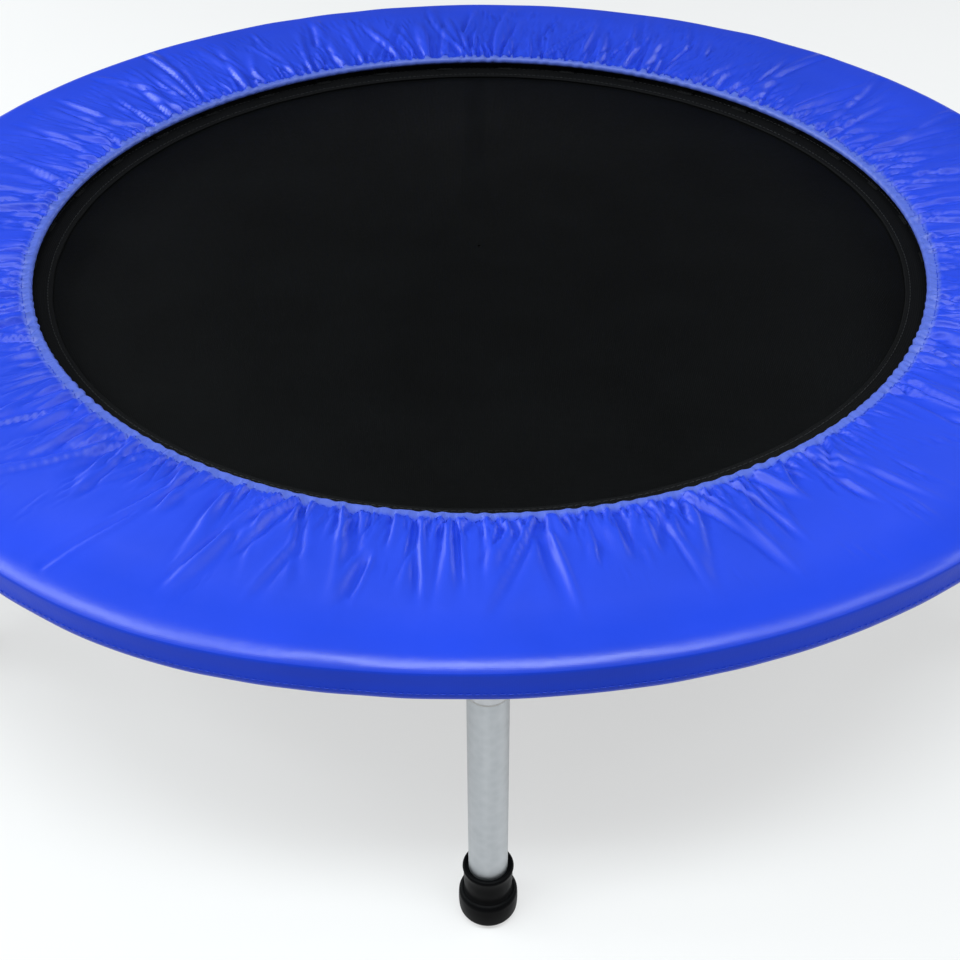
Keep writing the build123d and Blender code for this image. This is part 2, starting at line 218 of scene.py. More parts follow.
# ---------------------------------------------------------------- material helpers
class Surface:
    """A node material, built a few nodes at a time."""

    def __init__(self, name, roughness=0.5, metallic=0.0, specular=0.5):
        self.material = bpy.data.materials.new(name)
        self.material.use_nodes = True
        self.tree = self.material.node_tree
        self.shader = self.tree.nodes["Principled BSDF"]
        self.shader.inputs["Roughness"].default_value = roughness
        self.shader.inputs["Metallic"].default_value = metallic
        self.shader.inputs["Specular IOR Level"].default_value = specular
        self.place = self.node("ShaderNodeTexCoord").outputs["Object"]

    def node(self, kind, **settings):
        made = self.tree.nodes.new(kind)
        for key, value in settings.items():
            setattr(made, key, value)
        return made

    def link(self, source, target):
        self.tree.links.new(source, target)

    def noise(self, scale, detail, stretch=(1, 1, 1)):
        """Cloudy noise in the object's own space, squeezed by stretch."""
        mapping = self.node("ShaderNodeMapping")
        mapping.inputs["Scale"].default_value = stretch
        self.link(self.place, mapping.inputs["Vector"])
        made = self.node("ShaderNodeTexNoise")
        made.inputs["Scale"].default_value = scale
        made.inputs["Detail"].default_value = detail
        self.link(mapping.outputs["Vector"], made.inputs["Vector"])
        return made.outputs["Fac"]

    def wave(self, pitch, direction="X", rings=False):
        """Bands one pitch apart, in metres."""
        made = self.node("ShaderNodeTexWave", wave_type="RINGS" if rings else "BANDS", wave_profile="SIN")
        if rings:
            made.rings_direction = direction
        else:
            made.bands_direction = direction
        made.inputs["Scale"].default_value = math.pi / 10 / pitch
        self.link(self.place, made.inputs["Vector"])
        return made.outputs["Fac"]

    def maths(self, operation, a, b):
        made = self.node("ShaderNodeMath", operation=operation)
        for socket, value in zip(made.inputs, (a, b)):
            if isinstance(value, (int, float)):
                socket.default_value = value
            else:
                self.link(value, socket)
        return made.outputs[0]

    def ramp(self, value, low, high, start=0.0, end=1.0):
        """A colour from low to high as value goes from start to end."""
        made = self.node("ShaderNodeValToRGB")
        made.color_ramp.elements[0].position = start
        made.color_ramp.elements[1].position = end
        made.color_ramp.elements[0].color = (*low, 1)
        made.color_ramp.elements[1].color = (*high, 1)
        self.link(value, made.inputs["Fac"])
        return made.outputs["Color"]

    def span(self, value, low, high):
        """Maps 0 to 1 onto low to high."""
        made = self.node("ShaderNodeMapRange")
        made.inputs["To Min"].default_value = low
        made.inputs["To Max"].default_value = high
        self.link(value, made.inputs["Value"])
        return made.outputs["Result"]

    def colour(self, value):
        self.link(value, self.shader.inputs["Base Color"])

    def rough(self, value):
        self.link(value, self.shader.inputs["Roughness"])

    def bump(self, *layers):
        """Each layer is (height, strength, distance); they stack."""
        normal = None
        for height, strength, distance in layers:
            made = self.node("ShaderNodeBump")
            made.inputs["Strength"].default_value = strength
            made.inputs["Distance"].default_value = distance
            self.link(height, made.inputs["Height"])
            if normal:
                self.link(normal, made.inputs["Normal"])
            normal = made.outputs["Normal"]
        self.link(normal, self.shader.inputs["Normal"])


def cover_material(name, low, high, specular):
    """Coated blue cloth, paler in a narrow band along the inner hem."""
    s = Surface(name, roughness=0.4, specular=specular)
    base = s.ramp(s.noise(9, 4), low, high, 0.3, 0.7)
    lip_colour = (0.075, 0.12, 0.5, 1)
    flat = s.node("ShaderNodeVectorMath", operation="MULTIPLY_ADD")
    flat.inputs[1].default_value = (1, 1, 0)
    aside = math.radians(SLACK_MIDDLE)  # the measure's middle moves with the slack hem
    flat.inputs[2].default_value = (-3 * MM * math.cos(aside), -3 * MM * math.sin(aside), 0)
    s.link(s.place, flat.inputs[0])
    far = s.node("ShaderNodeVectorMath", operation="LENGTH")
    s.link(flat.outputs[0], far.inputs[0])
    lip = s.node("ShaderNodeMapRange")
    lip.inputs["From Min"].default_value = hem_radius + 7 * MM
    lip.inputs["From Max"].default_value = hem_radius + 4 * MM
    s.link(far.outputs["Value"], lip.inputs["Value"])
    mixed = s.node("ShaderNodeMix", data_type="RGBA")
    s.link(lip.outputs["Result"], mixed.inputs[0])
    s.link(base, mixed.inputs[6])
    mixed.inputs[7].default_value = lip_colour
    s.colour(mixed.outputs[2])
    tight = s.node("ShaderNodeMapRange")  # smoother where the rim's foam draws it tight
    tight.inputs["From Min"].default_value = DRAWN_START
    tight.inputs["From Max"].default_value = DRAWN_END
    tight.inputs["To Min"].default_value = 0.45
    tight.inputs["To Max"].default_value = 0.3
    s.link(far.outputs["Value"], tight.inputs["Value"])
    s.rough(s.maths("ADD", tight.outputs["Result"], s.span(s.noise(40, 4), 0.0, 0.08)))
    weave = s.maths("MULTIPLY", s.wave(0.9 * MM, "X"), s.wave(0.9 * MM, "Y"))
    s.bump((weave, 0.12, 0.2 * MM), (s.noise(220, 3), 0.15, 0.5 * MM), (s.noise(60, 3), 0.2, 1.2 * MM))
    return s.material


def lining_material():
    s = Surface("lining_fabric", roughness=0.7)
    s.colour(s.ramp(s.noise(30, 4), (0.012, 0.012, 0.014), (0.026, 0.026, 0.03)))
    weave = s.maths("MULTIPLY", s.wave(1.6 * MM, "X"), s.wave(1.6 * MM, "Y"))
    s.bump((weave, 0.5, 0.3 * MM), (s.noise(90, 3), 0.2, 0.8 * MM))
    return s.material


def mesh_material():
    """Woven mat: fine tapes with small holes between them."""
    s = Surface("mat_mesh", roughness=0.5, specular=0.09)
    warp, weft = s.wave(1.3 * MM, "X"), s.wave(1.3 * MM, "Y")
    tape = s.maths("MAXIMUM", warp, weft)
    s.colour(s.ramp(s.noise(14, 5), (0.001, 0.0011, 0.0012), (0.0018, 0.002, 0.0022), 0.3, 0.7))
    s.rough(s.span(s.noise(300, 2), 0.42, 0.58))
    s.bump((tape, 0.35, 0.3 * MM), (s.noise(25, 2), 0.05, 0.6 * MM))
    s.link(s.ramp(tape, (0.88,) * 3, (1.0,) * 3, 0.2, 0.35), s.shader.inputs["Alpha"])
    return s.material


def webbing_material():
    s = Surface("mat_webbing", roughness=0.75, specular=0.12)
    s.colour(s.ramp(s.noise(50, 4), (0.001, 0.001, 0.0012), (0.0025, 0.0025, 0.003)))
    ribs = s.wave(1.5 * MM, "Z", rings=True)
    fill = s.maths("MULTIPLY", s.wave(1.0 * MM, "X"), s.wave(1.0 * MM, "Y"))
    s.bump((ribs, 0.5, 0.25 * MM), (fill, 0.35, 0.2 * MM))
    return s.material


def steel_material(name, low, high, roughness, spangle=160, grain=(1, 1, 0.04), metallic=0.9):
    s = Surface(name, metallic=metallic)
    cells = s.node("ShaderNodeTexVoronoi")
    cells.inputs["Scale"].default_value = spangle
    s.link(s.place, cells.inputs["Vector"])
    mixed = s.maths("ADD", s.maths("MULTIPLY", cells.outputs["Distance"], 0.35), s.noise(70, 4, grain))
    s.colour(s.ramp(mixed, low, high, 0.25, 1.0))
    s.rough(s.span(s.noise(400, 3, grain), roughness - 0.07, roughness + 0.07))
    s.bump((s.noise(900, 2, grain), 0.12, 0.05 * MM))
    return s.material


def rubber_material():
    s = Surface("foot_rubber", roughness=0.42, specular=0.03)
    s.colour(s.ramp(s.noise(60, 5), (0.0015, 0.0015, 0.0017), (0.004, 0.004, 0.0045)))
    s.rough(s.span(s.noise(250, 4), 0.30, 0.5))
    s.bump((s.noise(1400, 2), 0.25, 0.06 * MM), (s.noise(90, 3), 0.12, 0.3 * MM))
    return s.material


def nylon_material():
    s = Surface("washer_nylon", roughness=0.5)
    s.colour(s.ramp(s.noise(80, 3), (0.48, 0.48, 0.47), (0.6, 0.6, 0.58)))
    s.bump((s.noise(700, 2), 0.1, 0.05 * MM))
    return s.material


def foam_material():
    s = Surface("foam", roughness=0.9, specular=0.2)
    s.colour(s.ramp(s.noise(200, 4), (0.66, 0.66, 0.62), (0.8, 0.8, 0.77)))
    s.bump((s.noise(900, 3), 0.5, 0.4 * MM))
    return s.material


def elastic_material():
    s = Surface("elastic", roughness=0.8, specular=0.2)
    s.colour(s.ramp(s.noise(120, 3), (0.62, 0.62, 0.62), (0.8, 0.8, 0.8)))
    braid = s.maths("MULTIPLY", s.wave(1.1 * MM, "DIAGONAL"), s.wave(0.8 * MM, "Z"))
    s.bump((braid, 0.5, 0.25 * MM))
    return s.material


def thread_material(name, low, high):
    s = Surface(name, roughness=0.6, specular=0.3)
    s.colour(s.ramp(s.noise(600, 2), low, high))
    s.bump((s.wave(0.5 * MM, "DIAGONAL"), 0.4, 0.1 * MM))
    return s.material


blue = cover_material("cover_fabric", (0.0075, 0.042, 0.52), (0.0105, 0.0485, 0.6), 0.5)
# the skirt uses the top's cloth with a slightly darker colour and little specular: painted shade for the
# skirt's darker side
skirt_blue_painted_shade = cover_material("skirt_fabric_painted_shade", (0.005, 0.038, 0.5), (0.008, 0.046, 0.57), 0.1)
lining = lining_material()
mesh_weave = mesh_material()
webbing = webbing_material()
rubber = rubber_material()
nylon = nylon_material()
foam_stuff = foam_material()
elastic = elastic_material()
blue_thread = thread_material("cover_thread", (0.008, 0.04, 0.42), (0.012, 0.05, 0.52))
black_thread = thread_material("mat_thread", (0.005, 0.005, 0.0055), (0.012, 0.012, 0.013))
ring_steel = steel_material("frame_steel", (0.42, 0.43, 0.45), (0.62, 0.63, 0.65), 0.36)
leg_steel = steel_material("leg_steel", (0.4, 0.42, 0.44), (0.51, 0.53, 0.55), 0.42, grain=(1, 1, 0.02))
bright_steel = steel_material("fastener_steel", (0.5, 0.5, 0.5), (0.68, 0.68, 0.68), 0.3, metallic=1.0)
spring_steel = steel_material(
    "spring_steel", (0.45, 0.46, 0.48), (0.66, 0.67, 0.69), 0.28, grain=(1, 1, 1), metallic=1.0
)
weld_steel = steel_material("weld_steel", (0.2, 0.19, 0.18), (0.46, 0.46, 0.46), 0.5, grain=(1, 1, 1))

# ---------------------------------------------------------------- camera
# A 54 mm lens on a 36 mm sensor, a metre in front of the middle and looking down on it.
lens = 53.54
camera_place = Vector((-0.0085, -1.0045, 0.7708))
camera_pitch = math.radians(38.57)
camera_yaw = math.radians(-0.49)
camera_roll = math.radians(-0.26)
view_direction = Vector((0, math.cos(camera_pitch), -math.sin(camera_pitch)))
view_up = Vector((0, math.sin(camera_pitch), math.cos(camera_pitch)))
yawed = Matrix.Rotation(camera_yaw, 3, "Z")
view_direction, view_up = yawed @ view_direction, yawed @ view_up
view_right = view_direction.cross(view_up)
rolled_right = math.cos(camera_roll) * view_right + math.sin(camera_roll) * view_up
rolled_up = math.cos(camera_roll) * view_up - math.sin(camera_roll) * view_right
turned = Matrix((rolled_right, rolled_up, -view_direction)).transposed().to_4x4()
camera = bpy.data.objects.new("camera", bpy.data.cameras.new("camera"))
camera.data.lens = lens
camera.data.sensor_width = 36
camera.matrix_world = Matrix.Translation(camera_place) @ turned
bpy.context.scene.collection.objects.link(camera)
bpy.context.scene.camera = camera


# ---------------------------------------------------------------- floor and light
def make_floor():
    s = Surface("floor_paper", roughness=0.85, specular=0.1)
    s.colour(s.ramp(s.noise(3, 2), (0.315, 0.31, 0.31), (0.335, 0.33, 0.33)))
    s.shader.inputs["Emission Color"].default_value = (1, 1, 1, 1)
    s.shader.inputs["Emission Strength"].default_value = 0.55
    half = 20.0  # metres from the middle to the floor's edge
    corners = [(-half, -half, 0), (half, -half, 0), (half, half, 0), (-half, half, 0)]
    floor = piece("floor", corners, [(0, 1, 2, 3)], s.material, None, None)


def add_light(name, place, aim, size, power):
    """A cool white softbox, size metres across and up, that the camera doesn't see."""
    light = bpy.data.lights.new(name, "AREA")
    light.shape = "RECTANGLE"
    light.size, light.size_y = size
    light.energy = power
    light.color = (0.9, 0.98, 1.0)
    lamp = bpy.data.objects.new(name, light)
    lamp.location = place
    lamp.rotation_euler = (Vector(aim) - Vector(place)).to_track_quat("-Z", "Y").to_euler()
    lamp.visible_camera = False
    bpy.context.scene.collection.objects.link(lamp)


def make_world(fill, mirrored):
    """An even white surround: pale to the camera, dimmer where it lights the object or is mirrored."""
    world = bpy.data.worlds.new("studio")
    bpy.context.scene.world = world
    world.use_nodes = True
    tree = world.node_tree
    background = tree.nodes["Background"]
    background.inputs["Color"].default_value = (1, 1, 1, 1)
    path = tree.nodes.new("ShaderNodeLightPath")
    strength = tree.nodes.new("ShaderNodeMapRange")
    strength.inputs["To Min"].default_value = fill
    strength.inputs["To Max"].default_value = mirrored
    tree.links.new(path.outputs["Is Glossy Ray"], strength.inputs["Value"])
    backdrop = tree.nodes.new("ShaderNodeMapRange")
    backdrop.inputs["To Max"].default_value = 0.9
    tree.links.new(path.outputs["Is Camera Ray"], backdrop.inputs["Value"])
    tree.links.new(strength.outputs["Result"], backdrop.inputs["To Min"])
    tree.links.new(backdrop.outputs["Result"], background.inputs["Strength"])


make_floor()
make_world(fill=0.17, mirrored=0.1)
add_light("overhead", (0.0, -0.85, 2.3), (0, -0.3, 0.2), (2.0, 0.5), 46)
for hand, share in ((-1, 1.3), (1, 0.65)):  # softboxes in an arch on each side, stronger on the left
    add_light("high_box", (hand * 1.75, -0.7, 2.05), (0, -0.2, 0.2), (0.8, 0.5), 13 * share)
    add_light("side_box", (hand * 2.4, 0.1, 1.3), (0, -0.1, 0.2), (0.9, 0.6), 20 * share)
    add_light("low_box", (hand * 2.2, 1.25, 0.7), (0, 0, 0.2), (1.3, 0.5), 22 * share)
bpy.context.scene.view_settings.view_transform = "Standard"

# ---------------------------------------------------------------- safety pad
COLUMNS = 2160  # points round the pad
angles = np.linspace(0, 2 * math.pi, COLUMNS, endpoint=False)
chance = np.random.default_rng(36)


def ripples(count, spread, terms, seed):
    """Uneven waves round the pad: about count of them, with drifting spacing and height."""
    dice = np.random.default_rng(seed)
    total = np.zeros(COLUMNS)
    for _ in range(terms):
        waves = int(round(dice.normal(count, spread)))
        drift = dice.uniform(0.5, 2.5) * np.sin(angles * dice.integers(2, 9) + dice.uniform(0, 6.3))
        swell = 0.6 + 0.4 * np.sin(angles * dice.integers(3, 17) + dice.uniform(0, 6.3))
        total += swell * np.sin(waves * angles + drift + dice.uniform(0, 6.3))
    return total / math.sqrt(terms)


def near(turn, middle, spread):
    """1 at an angle round the pad in degrees, falling smoothly to 0 away from it."""
    away = (np.degrees(turn) - middle + 180) % 360 - 180
    return np.exp(-((away / spread) ** 2))


def sag(turn):
    """How far the pad's rim droops, as outward and downward metres: most at the front left."""
    share = 1.1 * near(turn, 244, 14) + 0.15 * near(turn, 270, 60)
    return 3.5 * MM * share, 3.6 * MM * share


def slack(turn, reach):
    """How far the hem is drawn outward round the front, dying away over the pad's first 40 mm."""
    pull = 6 * MM * near(turn, SLACK_MIDDLE, 48)
    return pull[:, None] * np.clip(1 - np.clip(reach, 0, None) / (40 * MM), 0, 1)[None, :] ** 2


def cover_profile():
    """The cover's section from its seam under the hem, over the top and round the skirt's hem.

    Returns the line as (radius, height) points, its outward normals, and where the top, the side and
    the skirt start in it.
    """
    inner = []
    for x in (6.0, 3.0):
        inner.append((hem_radius + x * MM, hem_height - roll_radius))
    for a in np.radians([-90, -125, -160, -195, -230, -258]):
        inner.append((hem_radius + roll_radius * math.cos(a), hem_height + roll_radius * math.sin(a)))
    seam = math.radians(38)  # the shoulder tips this far before the seam along the rim
    shoulder, edge = 18 * MM, 3 * MM
    edge_r = skirt_radius - edge
    crest_r = edge_r - (shoulder - edge) * math.sin(seam)
    crest_z = cover_top - shoulder
    pinch = hem_radius + 4.2 * MM
    top = []
    rise = cover_top - (hem_height + roll_radius)
    for u in np.linspace(0, 1, 22) ** 1.15:
        r = pinch + u * (crest_r - pinch)
        slope = min(1.0, (r - hem_radius) / (PAD_SLOPE_RADIUS - hem_radius))
        crown = 1.2 * MM * math.sin(math.pi * min(1.0, u * 1.02)) ** 0.7
        dip = -1.5 * MM * math.exp(-(((r - pinch) / (2.2 * MM)) ** 2))
        top.append((r, hem_height + roll_radius + rise * slope + crown + dip))
    side = []
    for a in np.linspace(math.radians(7), seam, 6):
        side.append((crest_r + shoulder * math.sin(a), crest_z + shoulder * math.cos(a)))
    edge_z = crest_z + (shoulder - edge) * math.cos(seam)
    for a in np.radians((58, 78)):
        side.append((edge_r + edge * math.sin(a), edge_z + edge * math.cos(a)))
    skirt = []
    drop = edge_z - cover_bottom
    for f, out in ((0.0, 0.0), (0.3, -0.15), (0.6, 0.0), (0.74, 0.45), (0.88, 0.35), (1.0, -0.3)):
        skirt.append((skirt_radius + out * MM, edge_z - f * drop))
    for up in (1.0, 4.0):
        skirt.append((skirt_radius - 0.95 * MM, cover_bottom + up * MM))
    line = np.array(inner + top + side + skirt)
    tangent = unit(np.gradient(line, axis=0))
    normal = np.stack([-tangent[:, 1], tangent[:, 0]], axis=-1)
    return line, normal, len(inner), len(inner) + len(top), len(inner) + len(top) + len(side)


def fold(height, reach, radii, middle, start, long, slant, bend, broad, tall, lean):
    """Adds one fold to height: a ridge with a sharp crease beside it, dying away outward."""
    step = 2 * math.pi / COLUMNS
    width = reach[-1]
    out = reach - start
    sweep = (slant * out + bend * out**2 / width) / radii
    grow = np.clip((out + 3 * MM) / (5 * MM), 0, 1) if start == 0 else np.clip(out / (8 * MM), 0, 1)
    fade = np.clip(1 - out / long, 0, 1) ** 0.7 * grow * (out > -3 * MM)
    spread = broad * (0.75 + 0.8 * np.clip(out / width, 0, 1))
    window = int(math.ceil((5 * broad + (abs(slant) + abs(bend)) * long) * 1.5 / radii[0] / step))
    first = int(round(middle / step))
    columns = np.arange(first - window, first + window + 1)
    away = (columns[:, None] * step - middle - sweep[None, :]) * radii[None, :]
    x = away / spread[None, :]
    ridge = (1 - 0.5 * x**2 + lean * x) * np.exp(-0.5 * x**2)
    side = math.copysign(1.45, lean)
    crease = np.exp(-(((x - side) / 0.5) ** 2))
    height[columns % COLUMNS] += tall * fade[None, :] * (ridge - 1.1 * crease)


def gathers(reach, radii):
    """Folds that the gathered hem throws out over the top, as heights of shape (angles, reach).

    Each fold's numbers are drawn in the order they are written, so the folds are the same each run.
    """
    height = np.zeros((COLUMNS, len(reach)))
    width = reach[-1]
    for _ in range(380):
        middle = chance.uniform(0, 2 * math.pi)
        facing = 0.5 + 0.5 * math.cos(middle - FRONT)  # 1 at the front, 0 at the back
        long = chance.beta(1.8, 2.6) * (1.0 - 0.2 * facing) * width + 14 * MM
        start = 0.0 if chance.random() < 0.75 else chance.uniform(0.05, 0.45) * width
        broad = chance.uniform(2.4, 5.2) * MM
        tall = chance.uniform(0.35, 1.0) * (1.6 * MM + 0.7 * broad)
        if chance.random() < 0.5:
            tall *= -1.0
        slant, bend, lean = chance.normal(0, 0.24), chance.normal(0, 0.12), chance.normal(0, 0.6)
        fold(height, reach, radii, middle, start, long, slant, bend, broad, tall, lean)
    for _ in range(600):  # short sharp puckers beside the hem
        middle = chance.uniform(0, 2 * math.pi)
        tall = chance.uniform(0.4, 1.0) * chance.choice((2.6, -2.2)) * MM
        broad = chance.uniform(1.3, 2.4) * MM
        long = chance.uniform(10, 42) * MM
        slant, lean = chance.normal(0, 0.25), chance.normal(0, 0.5)
        fold(height, reach, radii, middle, 0.0, long, slant, 0.0, broad, tall, lean)
    for _ in range(520):  # small crumples out on the top, most of them away from the front
        middle = FRONT + math.pi + chance.normal(0, 1.25)
        tall = chance.uniform(0.3, 1.0) * chance.choice((2.0, -1.7)) * MM
        start = chance.uniform(0.1, 0.75) * width
        broad = chance.uniform(1.5, 2.8) * MM
        long = chance.uniform(8, 34) * MM
        slant, lean = chance.normal(0, 0.9), chance.normal(0, 0.5)
        fold(height, reach, radii, middle, start, long, slant, 0.0, broad, tall, lean)
    return height


def make_cover():
    line, normal, top_start, side_start, skirt_start = cover_profile()
    rows = len(line)
    reach = np.clip(line[:, 0] - line[top_start, 0], 0, None)
    radius = np.tile(line[:, 0], (COLUMNS, 1))
    height = np.tile(line[:, 1], (COLUMNS, 1))
    raised = np.zeros((COLUMNS, rows))
    top = slice(top_start, side_start)
    raised[:, top] += gathers(reach[top], line[top, 0])
    pucker = ripples(230, 50, 7, 5)
    coarse = ripples(118, 20, 5, 6)
    row = np.arange(rows)
    near_hem = np.exp(-reach / (9 * MM))
    mid = np.exp(-reach / (26 * MM)) * (1 - 0.6 * near_hem)
    raised += pucker[:, None] * (0.6 * MM * near_hem)[None, :] * (row >= 5)[None, :]
    raised += coarse[:, None] * (0.9 * MM * mid)[None, :] * (row >= top_start)[None, :]
    swell = ripples(34, 9, 4, 7)
    outward = np.clip(reach / (60 * MM), 0, 1) * (row < side_start + 4)
    raised += swell[:, None] * (0.28 * MM * outward)[None, :]
    buckle = ripples(58, 14, 4, 8)
    hang = np.zeros(rows)
    hang[skirt_start - 2 :] = np.linspace(0, 1, rows - skirt_start + 2)
    raised += buckle[:, None] * (0.22 * MM * hang)[None, :]
    roll = np.zeros(rows)
    roll[2:top_start] = np.sin(np.linspace(0, math.pi, top_start - 2))
    raised += ripples(200, 45, 5, 9)[:, None] * (0.16 * MM * roll)[None, :]
    deepest, tallest = 3.2 * MM, 3.6 * MM  # folds level off before they reach these
    sunk = deepest * np.tanh(raised / deepest)
    raised = np.where(raised < 0, sunk, tallest * np.tanh(raised / tallest))
    radius += raised * normal[:, 0][None, :]
    height += raised * normal[:, 1][None, :]
    outer = np.clip((line[:, 0] - DROOP_START) / (skirt_radius - DROOP_START), 0, 1) ** 2
    out, down = sag(angles)
    radius += out[:, None] * outer[None, :]
    height -= down[:, None] * outer[None, :]
    radius += slack(angles, reach)
    points = around(angles, radius, height)
    seam_row = skirt_start - 2
    for name, cloth, first, last in (
        ("pad_cover_cloth", blue, 0, seam_row),
        # the skirt panel wears the cloth darkened with painted shade
        ("pad_skirt_cloth", skirt_blue_painted_shade, seam_row, rows - 1),
    ):
        part = points[:, first : last + 1]
        faces = grid_faces(COLUMNS, last + 1 - first, True, False)
        panel = piece(name, part, faces, cloth, "frame", "cover_fabric")
        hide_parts("pad_cover")
    facing = around(angles, np.tile(normal[:, 0], (COLUMNS, 1)), normal[:, 1][None, :])
    turn_up = skirt_start + 3  # the row where the skirt's hem is turned up
    threads = joined(
        [
            stitch_row(points[:, top_start], facing[:, top_start], 0.34 * MM),
            stitch_row(points[:, turn_up], facing[:, turn_up], 0.3 * MM),
        ]
    )
    piece("cover_stitching", *threads, blue_thread, "frame", "cover_fabric")


def make_lining():
    """The panel under the pad, puckered where the hem gathers it."""
    inner, outer = hem_radius + 1.0 * MM, panel_high.x
    r = np.linspace(inner, outer, 16)
    turn = np.linspace(0, 2 * math.pi, HEM_POINTS, endpoint=False)
    pucker = np.sin(181 * turn + 1.3 * np.sin(7 * turn)) + 0.7 * np.sin(127 * turn + 2 * np.sin(5 * turn) + 1)
    drawn = np.exp(-(r - inner) / (22 * MM))
    height = (panel_low.z + panel_high.z) / 2 + pucker[:, None] * (0.22 * MM * drawn)[None, :]
    radius = r[None, :] + slack(turn, r - inner)
    points = around(turn, radius, height)
    faces = grid_faces(HEM_POINTS, len(r), True, False)[:, ::-1]
    panel = piece("pad_lining", points, faces, lining, "frame", "lining_fabric")
    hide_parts("pad_underside")


def make_foam():
    """The foam ring: flat below, crowned on top, hugging the frame tube outside."""
    hug = tube_radius + 0.6 * MM
    bottom = foam_low.z + 0.2 * MM
    top = foam_high.z - 2.8 * MM
    start = ring_radius - math.sqrt(hug**2 - (bottom - ring_height) ** 2)
    section = [(hem_radius + 8 * MM, bottom + 0.6 * MM), (hem_radius + 12 * MM, bottom)]
    section += [(r, bottom) for r in np.linspace(hem_radius + 24 * MM, start, 7)]
    low_angle = math.atan2(bottom - ring_height, start - ring_radius)
    for a in np.linspace(low_angle, math.radians(38), 10)[1:]:
        section.append((ring_radius + hug * math.cos(a), ring_height + hug * math.sin(a)))
    edge_x, edge_z = section[-1]
    section.append((edge_x + 0.8 * MM, edge_z + 0.6 * MM))
    section.append((ring_radius + 7.0 * MM, top - 1.2 * MM))
    section.append((ring_radius + 1.0 * MM, top))
    for u in np.linspace(0.08, 1, 9):
        r = ring_radius - 2 * MM - u * (ring_radius - 2 * MM - hem_radius - 8 * MM)
        section.append((r, top - u**1.6 * (top - bottom - 1.8 * MM)))
    section = np.array(section)
    turn = np.linspace(0, 2 * math.pi, FOAM_POINTS, endpoint=False)
    lumps = 0.12 * MM * np.sin(41 * turn + 2 * np.sin(3 * turn))
    radius = section[:, 0][None, :] + slack(turn, section[:, 0] - section[0, 0])
    height = section[:, 1][None, :] + lumps[:, None]
    faces = grid_faces(FOAM_POINTS, len(section), True, True)
    ring = piece("pad_foam_ring", around(turn, radius, height), faces, foam_stuff, "frame", "foam")
    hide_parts("pad_foam")


def make_elastics():
    """The cord in the gathered hem, and the crimped bands in the skirt between the legs."""
    turn = angles[:: COLUMNS // HEM_POINTS]
    hem = hem_radius + slack(turn, np.zeros(1))[:, 0]
    path = np.stack([hem * np.cos(turn), hem * np.sin(turn), hem_height + 0 * turn], axis=-1)
    girth = cord_radius * (0.94 + 0.05 * np.sin(360 * turn))
    cord = piece("hem_elastic", *wire(path, girth, closed=True), elastic, "frame", "elastic")
    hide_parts("inner_elastic")
    bands = []
    middle = (band_low.z + band_high.z) / 2
    half = (band_high.z - band_low.z) / 2
    outer = band_high.x
    half_arc = math.radians(24.8)
    for k in LEGS:
        centre = FRONT + math.radians(LEG_STEP * (k - 0.5))
        a = np.linspace(-half_arc, half_arc, BAND_POINTS) + centre
        crimp = 0.12 * MM * np.sin(np.arange(BAND_POINTS) * 1.7)
        section = [(-0.7, -1.0), (0.0, -1.0), (0.0, 1.0), (-0.7, 1.0)]
        out, down = sag(a)
        radius = np.stack([outer - 0.1 * MM + x * MM - abs(x) * crimp + out for x, _ in section], axis=-1)
        height = np.stack([middle + y * half * 0.95 - down for _, y in section], axis=-1)
        end = 4 * BAND_POINTS - 1
        faces = grid_faces(BAND_POINTS, 4, False, True).tolist()
        faces += [[0, 1, 2, 3], [end, end - 1, end - 2, end - 3]]
        bands.append((around(a, radius, height), faces))
    band = piece("skirt_elastic_bands", *joined(bands), elastic, "frame", "elastic")
    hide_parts("skirt_elastic")


# ---------------------------------------------------------------- mat
def make_mat():
    """The woven disc, drawn tight: a slight dish, and faint scallops between the springs."""
    rim = mat_radius - 0.4 * MM
    r = np.concatenate([[0.001], np.linspace(0.02, rim, 34)])
    turn = np.linspace(0, 2 * math.pi, MAT_POINTS, endpoint=False)
    pull = np.cos(SPRINGS * (turn - math.radians(FIRST_SPRING)))
    dish = -0.9 * MM * (1 - (r / rim) ** 2)
    ripple = 0.22 * MM * pull[:, None] * ((r / rim) ** 9)[None, :]
    middle = mat_height + dish[None, :] + ripple
    radius = np.tile(np.concatenate([r, [rim + mat_half], r[::-1]]), (MAT_POINTS, 1))
    height = np.concatenate([middle - mat_half, middle[:, -1:], (middle + mat_half)[:, ::-1]], axis=1)
    columns = radius.shape[1]
    faces = grid_faces(MAT_POINTS, columns, True, False).tolist()
    faces.append([k * columns for k in range(MAT_POINTS)][::-1])
    faces.append([k * columns + columns - 1 for k in range(MAT_POINTS)])
    disc = piece("mat_weave", around(turn, radius, height), faces, mesh_weave, "mat", "mat_mesh")
    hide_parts("jump_mat")


